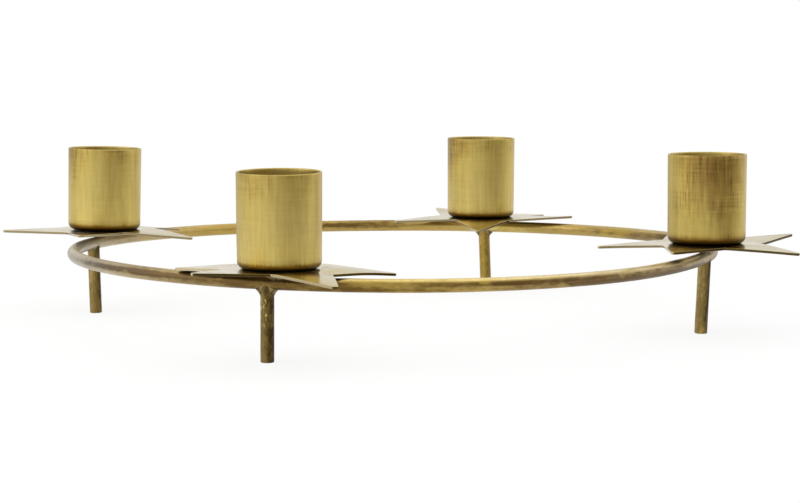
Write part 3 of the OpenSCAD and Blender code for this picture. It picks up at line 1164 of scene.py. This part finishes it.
def star_rub(place, normal):
    """A star's top is rubbed bright, and its cut edges and underside aren't."""
    return between(normal.z, 0.4, 0.95)


def star_rim_light(place, normal, sizes, i):
    """How pale a star's cut edge is: painted highlight where it faces the key lamp, painted shade on
    the other side.
    """
    return max(sizes.rim_bares[i], 0.8 * between(facing(normal, sizes.rim_lit_face), 0.5, 0.9))


class HOLDER_OT_stars(bpy.types.Operator):
    """Makes the four stars of bent sheet that lie on the hoop"""

    bl_idname = "holder.stars"
    bl_label = "Stars"
    bl_options = {"REGISTER", "UNDO"}

    def execute(self, context):
        sizes = context.scene.holder_sizes
        finish = star_finish()
        for i, name in enumerate(STATIONS):
            star = added(f"star_sheet_{name}", star_mesh(f"star_sheet_{name}", sizes, i))
            star.data.materials.append(finish)
            star.data.shade_smooth()
            bevel = star.modifiers.new("Edge", "BEVEL")
            bevel.width = sizes.sheet_edge
            bevel.segments = 3
            bevel.limit_method = "ANGLE"
            bevel.angle_limit = math.radians(50)
            star.modifiers.new("Normals", "WEIGHTED_NORMAL").weight = 80
            plain_mesh(star)
            place_mesh(star, on_star(name) @ Matrix.Rotation(sizes.star_turns[i], 4, "Z"))
            paint(star, "rub_and_light", star_rub)
            paint(star, "rim", star_rim_light, sizes, i)
            join_holder(star, f"star_{name}")
        return {"FINISHED"}


class Section:
    """An outline in the XZ plane, drawn on from point to point, that is turned round Z."""

    def __init__(self, x, z):
        self.points = [(x, 0, z)]

    def line(self, x, z, steps=1):
        """Goes straight on to a place."""
        from_x, _, from_z = self.points[-1]
        for k in range(1, steps + 1):
            t = k / steps
            self.points.append((from_x + (x - from_x) * t, 0, from_z + (z - from_z) * t))

    def arc(self, x, z, radius, start, end, steps):
        """Goes round a centre, between two angles in degrees counterclockwise from X."""
        for k in range(1, steps + 1):
            t = math.radians(start + (end - start) * k / steps)
            self.points.append((x + radius * math.cos(t), 0, z + radius * math.sin(t)))


def cup_section(sizes, height):
    """The closed outline of a cup's wall, from the rivet's hole out, up, in and down again."""
    radius = sizes.cup_diameter / 2
    foot = radius - sizes.cup_draft
    edge = sizes.cup_edge
    wall = sizes.cup_wall
    rim = wall / 2
    bore = radius - wall
    inner = edge - wall
    hole = sizes.rivet_shank / 2
    top = height - rim
    section = Section(hole, 0)
    section.line(foot - edge, 0, 8)
    section.arc(foot - edge, edge, edge, -90, 0, 12)
    section.line(radius, top, 30)
    section.arc(bore + rim, top, rim, 0, 180, 12)
    section.line(bore, edge, 30)
    section.arc(bore - inner, edge, inner, 0, -90, 8)
    section.line(hole, wall, 8)
    section.line(hole, 0)
    return section.points


def rivet_section(sizes):
    """The outline of a rivet from the bottom of its tail up to the crown of its head."""
    head = sizes.rivet_head / 2
    rise = sizes.rivet_rise
    shank = sizes.rivet_shank / 2
    tail = sizes.rivet_tail / 2
    soft = sizes.rivet_edge
    grip = -sizes.cup_wall - sizes.sheet
    low = grip - sizes.rivet_drop
    section = Section(0, low)
    section.line(tail - soft, low)
    section.arc(tail - soft, low + soft, soft, -90, 0, 4)
    for x, z in ((tail, grip - soft), (tail - soft, grip), (shank, grip), (shank, 0)):
        section.line(x, z)
    section.line(head - soft, 0)
    section.line(head, 0.6 * soft)
    dome = (head * head + rise * rise) / (2 * rise)
    spread = math.asin(min(1.0, head / dome))
    for k in range(1, 13):
        t = spread * (1 - k / 12)
        height = rise - dome + dome * math.cos(t)
        if height > soft:
            section.line(dome * math.sin(t), height)
    return section.points


def cup_rub_and_contact_shade(place, normal, sizes, i):
    """How far a cup is rubbed: inside least on its wall, outside darkest at its drawn edge, as
    painted contact shade on the star.
    """
    wall = sizes.cup_wall
    inwards = place.x * normal.x + place.y * normal.y < 0
    inside = normal.z > 0.5 or (inwards and normal.z > -0.5)
    if inside and math.hypot(place.x, place.y) < sizes.cup_diameter / 2 - 0.6 * wall:
        off_floor = between(place.z, wall, 3 * wall)
        mouth = between(place.z, 0.6 * sizes.cup_height, sizes.cup_height)
        return 0.76 - 0.24 * off_floor + 0.3 * mouth
    height = place.z / sizes.cup_height
    away = math.remainder(math.atan2(place.y, place.x) - sizes.stain_turns[i], math.tau)
    stain = math.exp(-((away / sizes.stain_spread) ** 2)) * between(height, 0.0, 0.8)
    fade = 0.16 * (1 - between(height, 0.1, 0.6)) - 0.2 * between(height, 0.55, 1.0)
    bare = sizes.cup_rubs[i] - sizes.stain_depths[i] * stain + sizes.cup_fades[i] * fade
    # Painted contact shade: the wall darkens towards its drawn edge, where the cup stands on the star
    return bare * between(place.z, 0.2 * sizes.cup_edge, 1.7 * sizes.cup_edge)


class HOLDER_OT_cups(bpy.types.Operator):
    """Makes the four drawn cups and the rivets that hold them to the stars"""

    bl_idname = "holder.cups"
    bl_label = "Cups"
    bl_options = {"REGISTER", "UNDO"}

    def execute(self, context):
        sizes = context.scene.holder_sizes
        tree = turned_tree()
        cup_brass = cup_finish()
        rivet_brass = rivet_finish()
        for i, name in enumerate(STATIONS):
            cup = grown(
                tree,
                f"cup_wall_{name}",
                cup_section(sizes, sizes.cup_height + sizes.cup_growths[i]),
                cup_brass,
                (sizes.cup_lumps, 75.0, 2.0 + 7 * i),
                Facets=160,
            )
            paint(cup, "rub_and_light", cup_rub_and_contact_shade, sizes, i)
            tip = Matrix.Rotation(sizes.cup_tips[i], 4, "Y")
            sway = Matrix.Rotation(sizes.cup_sways[i], 4, "X")
            place_mesh(cup, on_star(name) @ (tip @ sway))
            join_holder(cup, f"cup_{name}")
            rivet = grown(
                tree,
                f"cup_rivet_pin_{name}",
                rivet_section(sizes),
                rivet_brass,
                (sizes.rivet_lumps, 500.0, 1.0 + 3 * i),
                Facets=64,
            )
            place_mesh(rivet, on_star(name) @ Matrix.Translation((0, 0, sizes.cup_wall)))
            join_holder(rivet, f"cup_rivet_{name}")
        return {"FINISHED"}


def around(turn, distance, height):
    """A place in the studio. The turn runs counterclockwise from the camera's own side."""
    theta = bpy.context.scene.holder_studio.camera_turn - math.pi / 2 + turn
    return Vector((distance * math.cos(theta), distance * math.sin(theta), height))


def seen_ray(tree):
    """1 for a ray that shows a thing straight, in a mirror or through glass, and 0 for light."""
    paths = tree.add("ShaderNodeLightPath").outputs
    return tree.largest(*(paths[f"Is {kind} Ray"] for kind in ("Camera", "Glossy", "Transmission")))


class HOLDER_OT_studio(bpy.types.Operator):
    """Sets up the camera, the lamps, the room's light and the pale floor"""

    bl_idname = "holder.studio"
    bl_label = "Studio"
    bl_options = {"REGISTER", "UNDO"}

    def execute(self, context):
        studio = context.scene.holder_studio
        self.make_camera(context.scene, studio)
        self.make_lamps(studio)
        self.make_room(context.scene, studio)
        self.make_floor(studio)
        context.scene.view_settings.view_transform = "Standard"
        return {"FINISHED"}

    def make_camera(self, scene, studio):
        data = bpy.data.cameras.new("Camera")
        data.lens = studio.focal_length
        data.sensor_width = SENSOR_WIDTH
        data.clip_start = 0.01
        data.clip_end = 20
        yaw = studio.camera_yaw
        pitch = studio.camera_pitch
        roll = studio.camera_roll
        forward = Vector(
            (math.sin(yaw) * math.cos(pitch), math.cos(yaw) * math.cos(pitch), -math.sin(pitch))
        )
        right = Vector((math.cos(yaw), -math.sin(yaw), 0))
        up = right.cross(forward)
        side = math.cos(roll) * right + math.sin(roll) * up
        top = -math.sin(roll) * right + math.cos(roll) * up
        axes = Matrix((side, top, -forward)).transposed().to_4x4()
        place = Matrix.Translation((0, -studio.camera_distance, studio.camera_height))
        scene.camera = added("Camera", data)
        scene.camera.matrix_world = Matrix.Rotation(studio.camera_turn, 4, "Z") @ place @ axes

    def make_lamps(self, studio):
        target = Vector((0, 0, 30 * MM))
        for name, degrees, distance, height, size, power in (
            ("Key", -70, 1.5, 0.8, 1.6, studio.key_power),
            ("Fill", 100, 1.7, 0.7, 1.4, studio.fill_power),
            ("Top", 170, 0.4, 1.7, 1.8, studio.fill_power * 2),
        ):
            data = bpy.data.lights.new(name, "AREA")
            data.shape = "SQUARE"
            data.size = size
            data.energy = power
            lamp = added(name, data)
            lamp.location = around(math.radians(degrees), distance, height)
            lamp.rotation_euler = (target - lamp.location).to_track_quat("-Z", "Y").to_euler()

    def make_room(self, scene, studio):
        """A pale room with one dark side, which the camera and mirrors see as white."""
        scene.world = bpy.data.worlds.new("Room")
        scene.world.use_nodes = True
        room = NodeTree(scene.world.node_tree)
        room.tree.nodes.clear()
        # The middle of the dark side lies as far down as out
        shaded = around(studio.shade_turn, 1.0, -1.0).normalized()
        direction = room.add("ShaderNodeTexCoord").outputs["Generated"]
        towards = room.add(
            "ShaderNodeVectorMath", {0: direction, 1: tuple(shaded)}, operation="DOT_PRODUCT"
        )
        shade = room.ramp(towards.outputs["Value"], 0.3, 0.75)
        tint = room.mix(shade, (*studio.room_light, 1), (*studio.shade, 1))
        soft = room.add("ShaderNodeBackground", {"Color": tint, "Strength": studio.world_level})
        camera = room.add("ShaderNodeLightPath").outputs["Is Camera Ray"]
        seen = room.mix(camera, tint, (1, 1, 1, 1))
        white = room.add("ShaderNodeBackground", {"Color": seen, "Strength": 1.0})
        shown = room.add("ShaderNodeMixShader", {0: seen_ray(room), 1: soft, 2: white})
        room.add("ShaderNodeOutputWorld", {"Surface": shown})

    def make_floor(self, studio):
        """A round floor that is white to the eye but takes the holder's shadow."""
        corners = 64
        reach = studio.floor_reach
        turns = [math.tau * k / corners for k in range(corners)]
        rim = [(reach * math.cos(turn), reach * math.sin(turn), 0) for turn in turns]
        mesh = bpy.data.meshes.new("Floor")
        mesh.from_pydata(rim, [], [tuple(range(corners))])
        material = bpy.data.materials.new("floor_white")
        material.use_nodes = True
        coat = NodeTree(material.node_tree)
        coat.tree.nodes.clear()
        shadow = coat.add("ShaderNodeBsdfDiffuse", {"Color": (0.93, 0.93, 0.93, 1)})
        glow = coat.add("ShaderNodeEmission", {"Color": (1, 1, 1, 1), "Strength": 1.0})
        place = coat.add("ShaderNodeTexCoord").outputs["Object"]
        away = coat.add("ShaderNodeVectorMath", {0: place}, operation="LENGTH").outputs["Value"]
        # The floor glows a little less round the holder, so that the shadow shows there
        fade = coat.ramp(away, 150 * MM, reach * 0.97, 0.86, 1.0, "LINEAR")
        share = coat.times(seen_ray(coat), fade)
        mixed = coat.add("ShaderNodeMixShader", {0: share, 1: shadow, 2: glow})
        coat.add("ShaderNodeOutputMaterial", {"Surface": mixed})
        mesh.materials.append(material)
        added("Floor", mesh)


class HOLDER_PT_panel(bpy.types.Panel):
    """Lists the holder's sizes, colours and pieces"""

    bl_idname = "HOLDER_PT_panel"
    bl_label = "Candle holder"
    bl_space_type = "VIEW_3D"
    bl_region_type = "UI"
    bl_category = "Candle holder"

    def draw(self, context):
        for group_name, _ in GROUPS:
            group = getattr(context.scene, group_name)
            box = self.layout.box()
            for name in group.__annotations__:
                box.prop(group, name)
        for operator in OPERATORS:
            self.layout.operator(operator.bl_idname)


OPERATORS = (
    HOLDER_OT_hoop,
    HOLDER_OT_legs,
    HOLDER_OT_brazes,
    HOLDER_OT_stars,
    HOLDER_OT_cups,
    HOLDER_OT_studio,
)
GROUPS = (
    ("holder_sizes", HolderSizes),
    ("holder_finish", HolderFinish),
    ("holder_studio", HolderStudio),
)


def register():
    for name, group in GROUPS:
        bpy.utils.register_class(group)
        setattr(bpy.types.Scene, name, PointerProperty(type=group))
    for item in (*OPERATORS, HOLDER_PT_panel):
        bpy.utils.register_class(item)


def unregister():
    for item in (HOLDER_PT_panel, *reversed(OPERATORS)):
        bpy.utils.unregister_class(item)
    for name, group in reversed(GROUPS):
        delattr(bpy.types.Scene, name)
        bpy.utils.unregister_class(group)


def main():
    register()
    bpy.ops.holder.hoop()
    bpy.ops.holder.legs()
    bpy.ops.holder.brazes()
    bpy.ops.holder.stars()
    bpy.ops.holder.cups()
    bpy.ops.holder.studio()


if __name__ == "__main__":
    main()
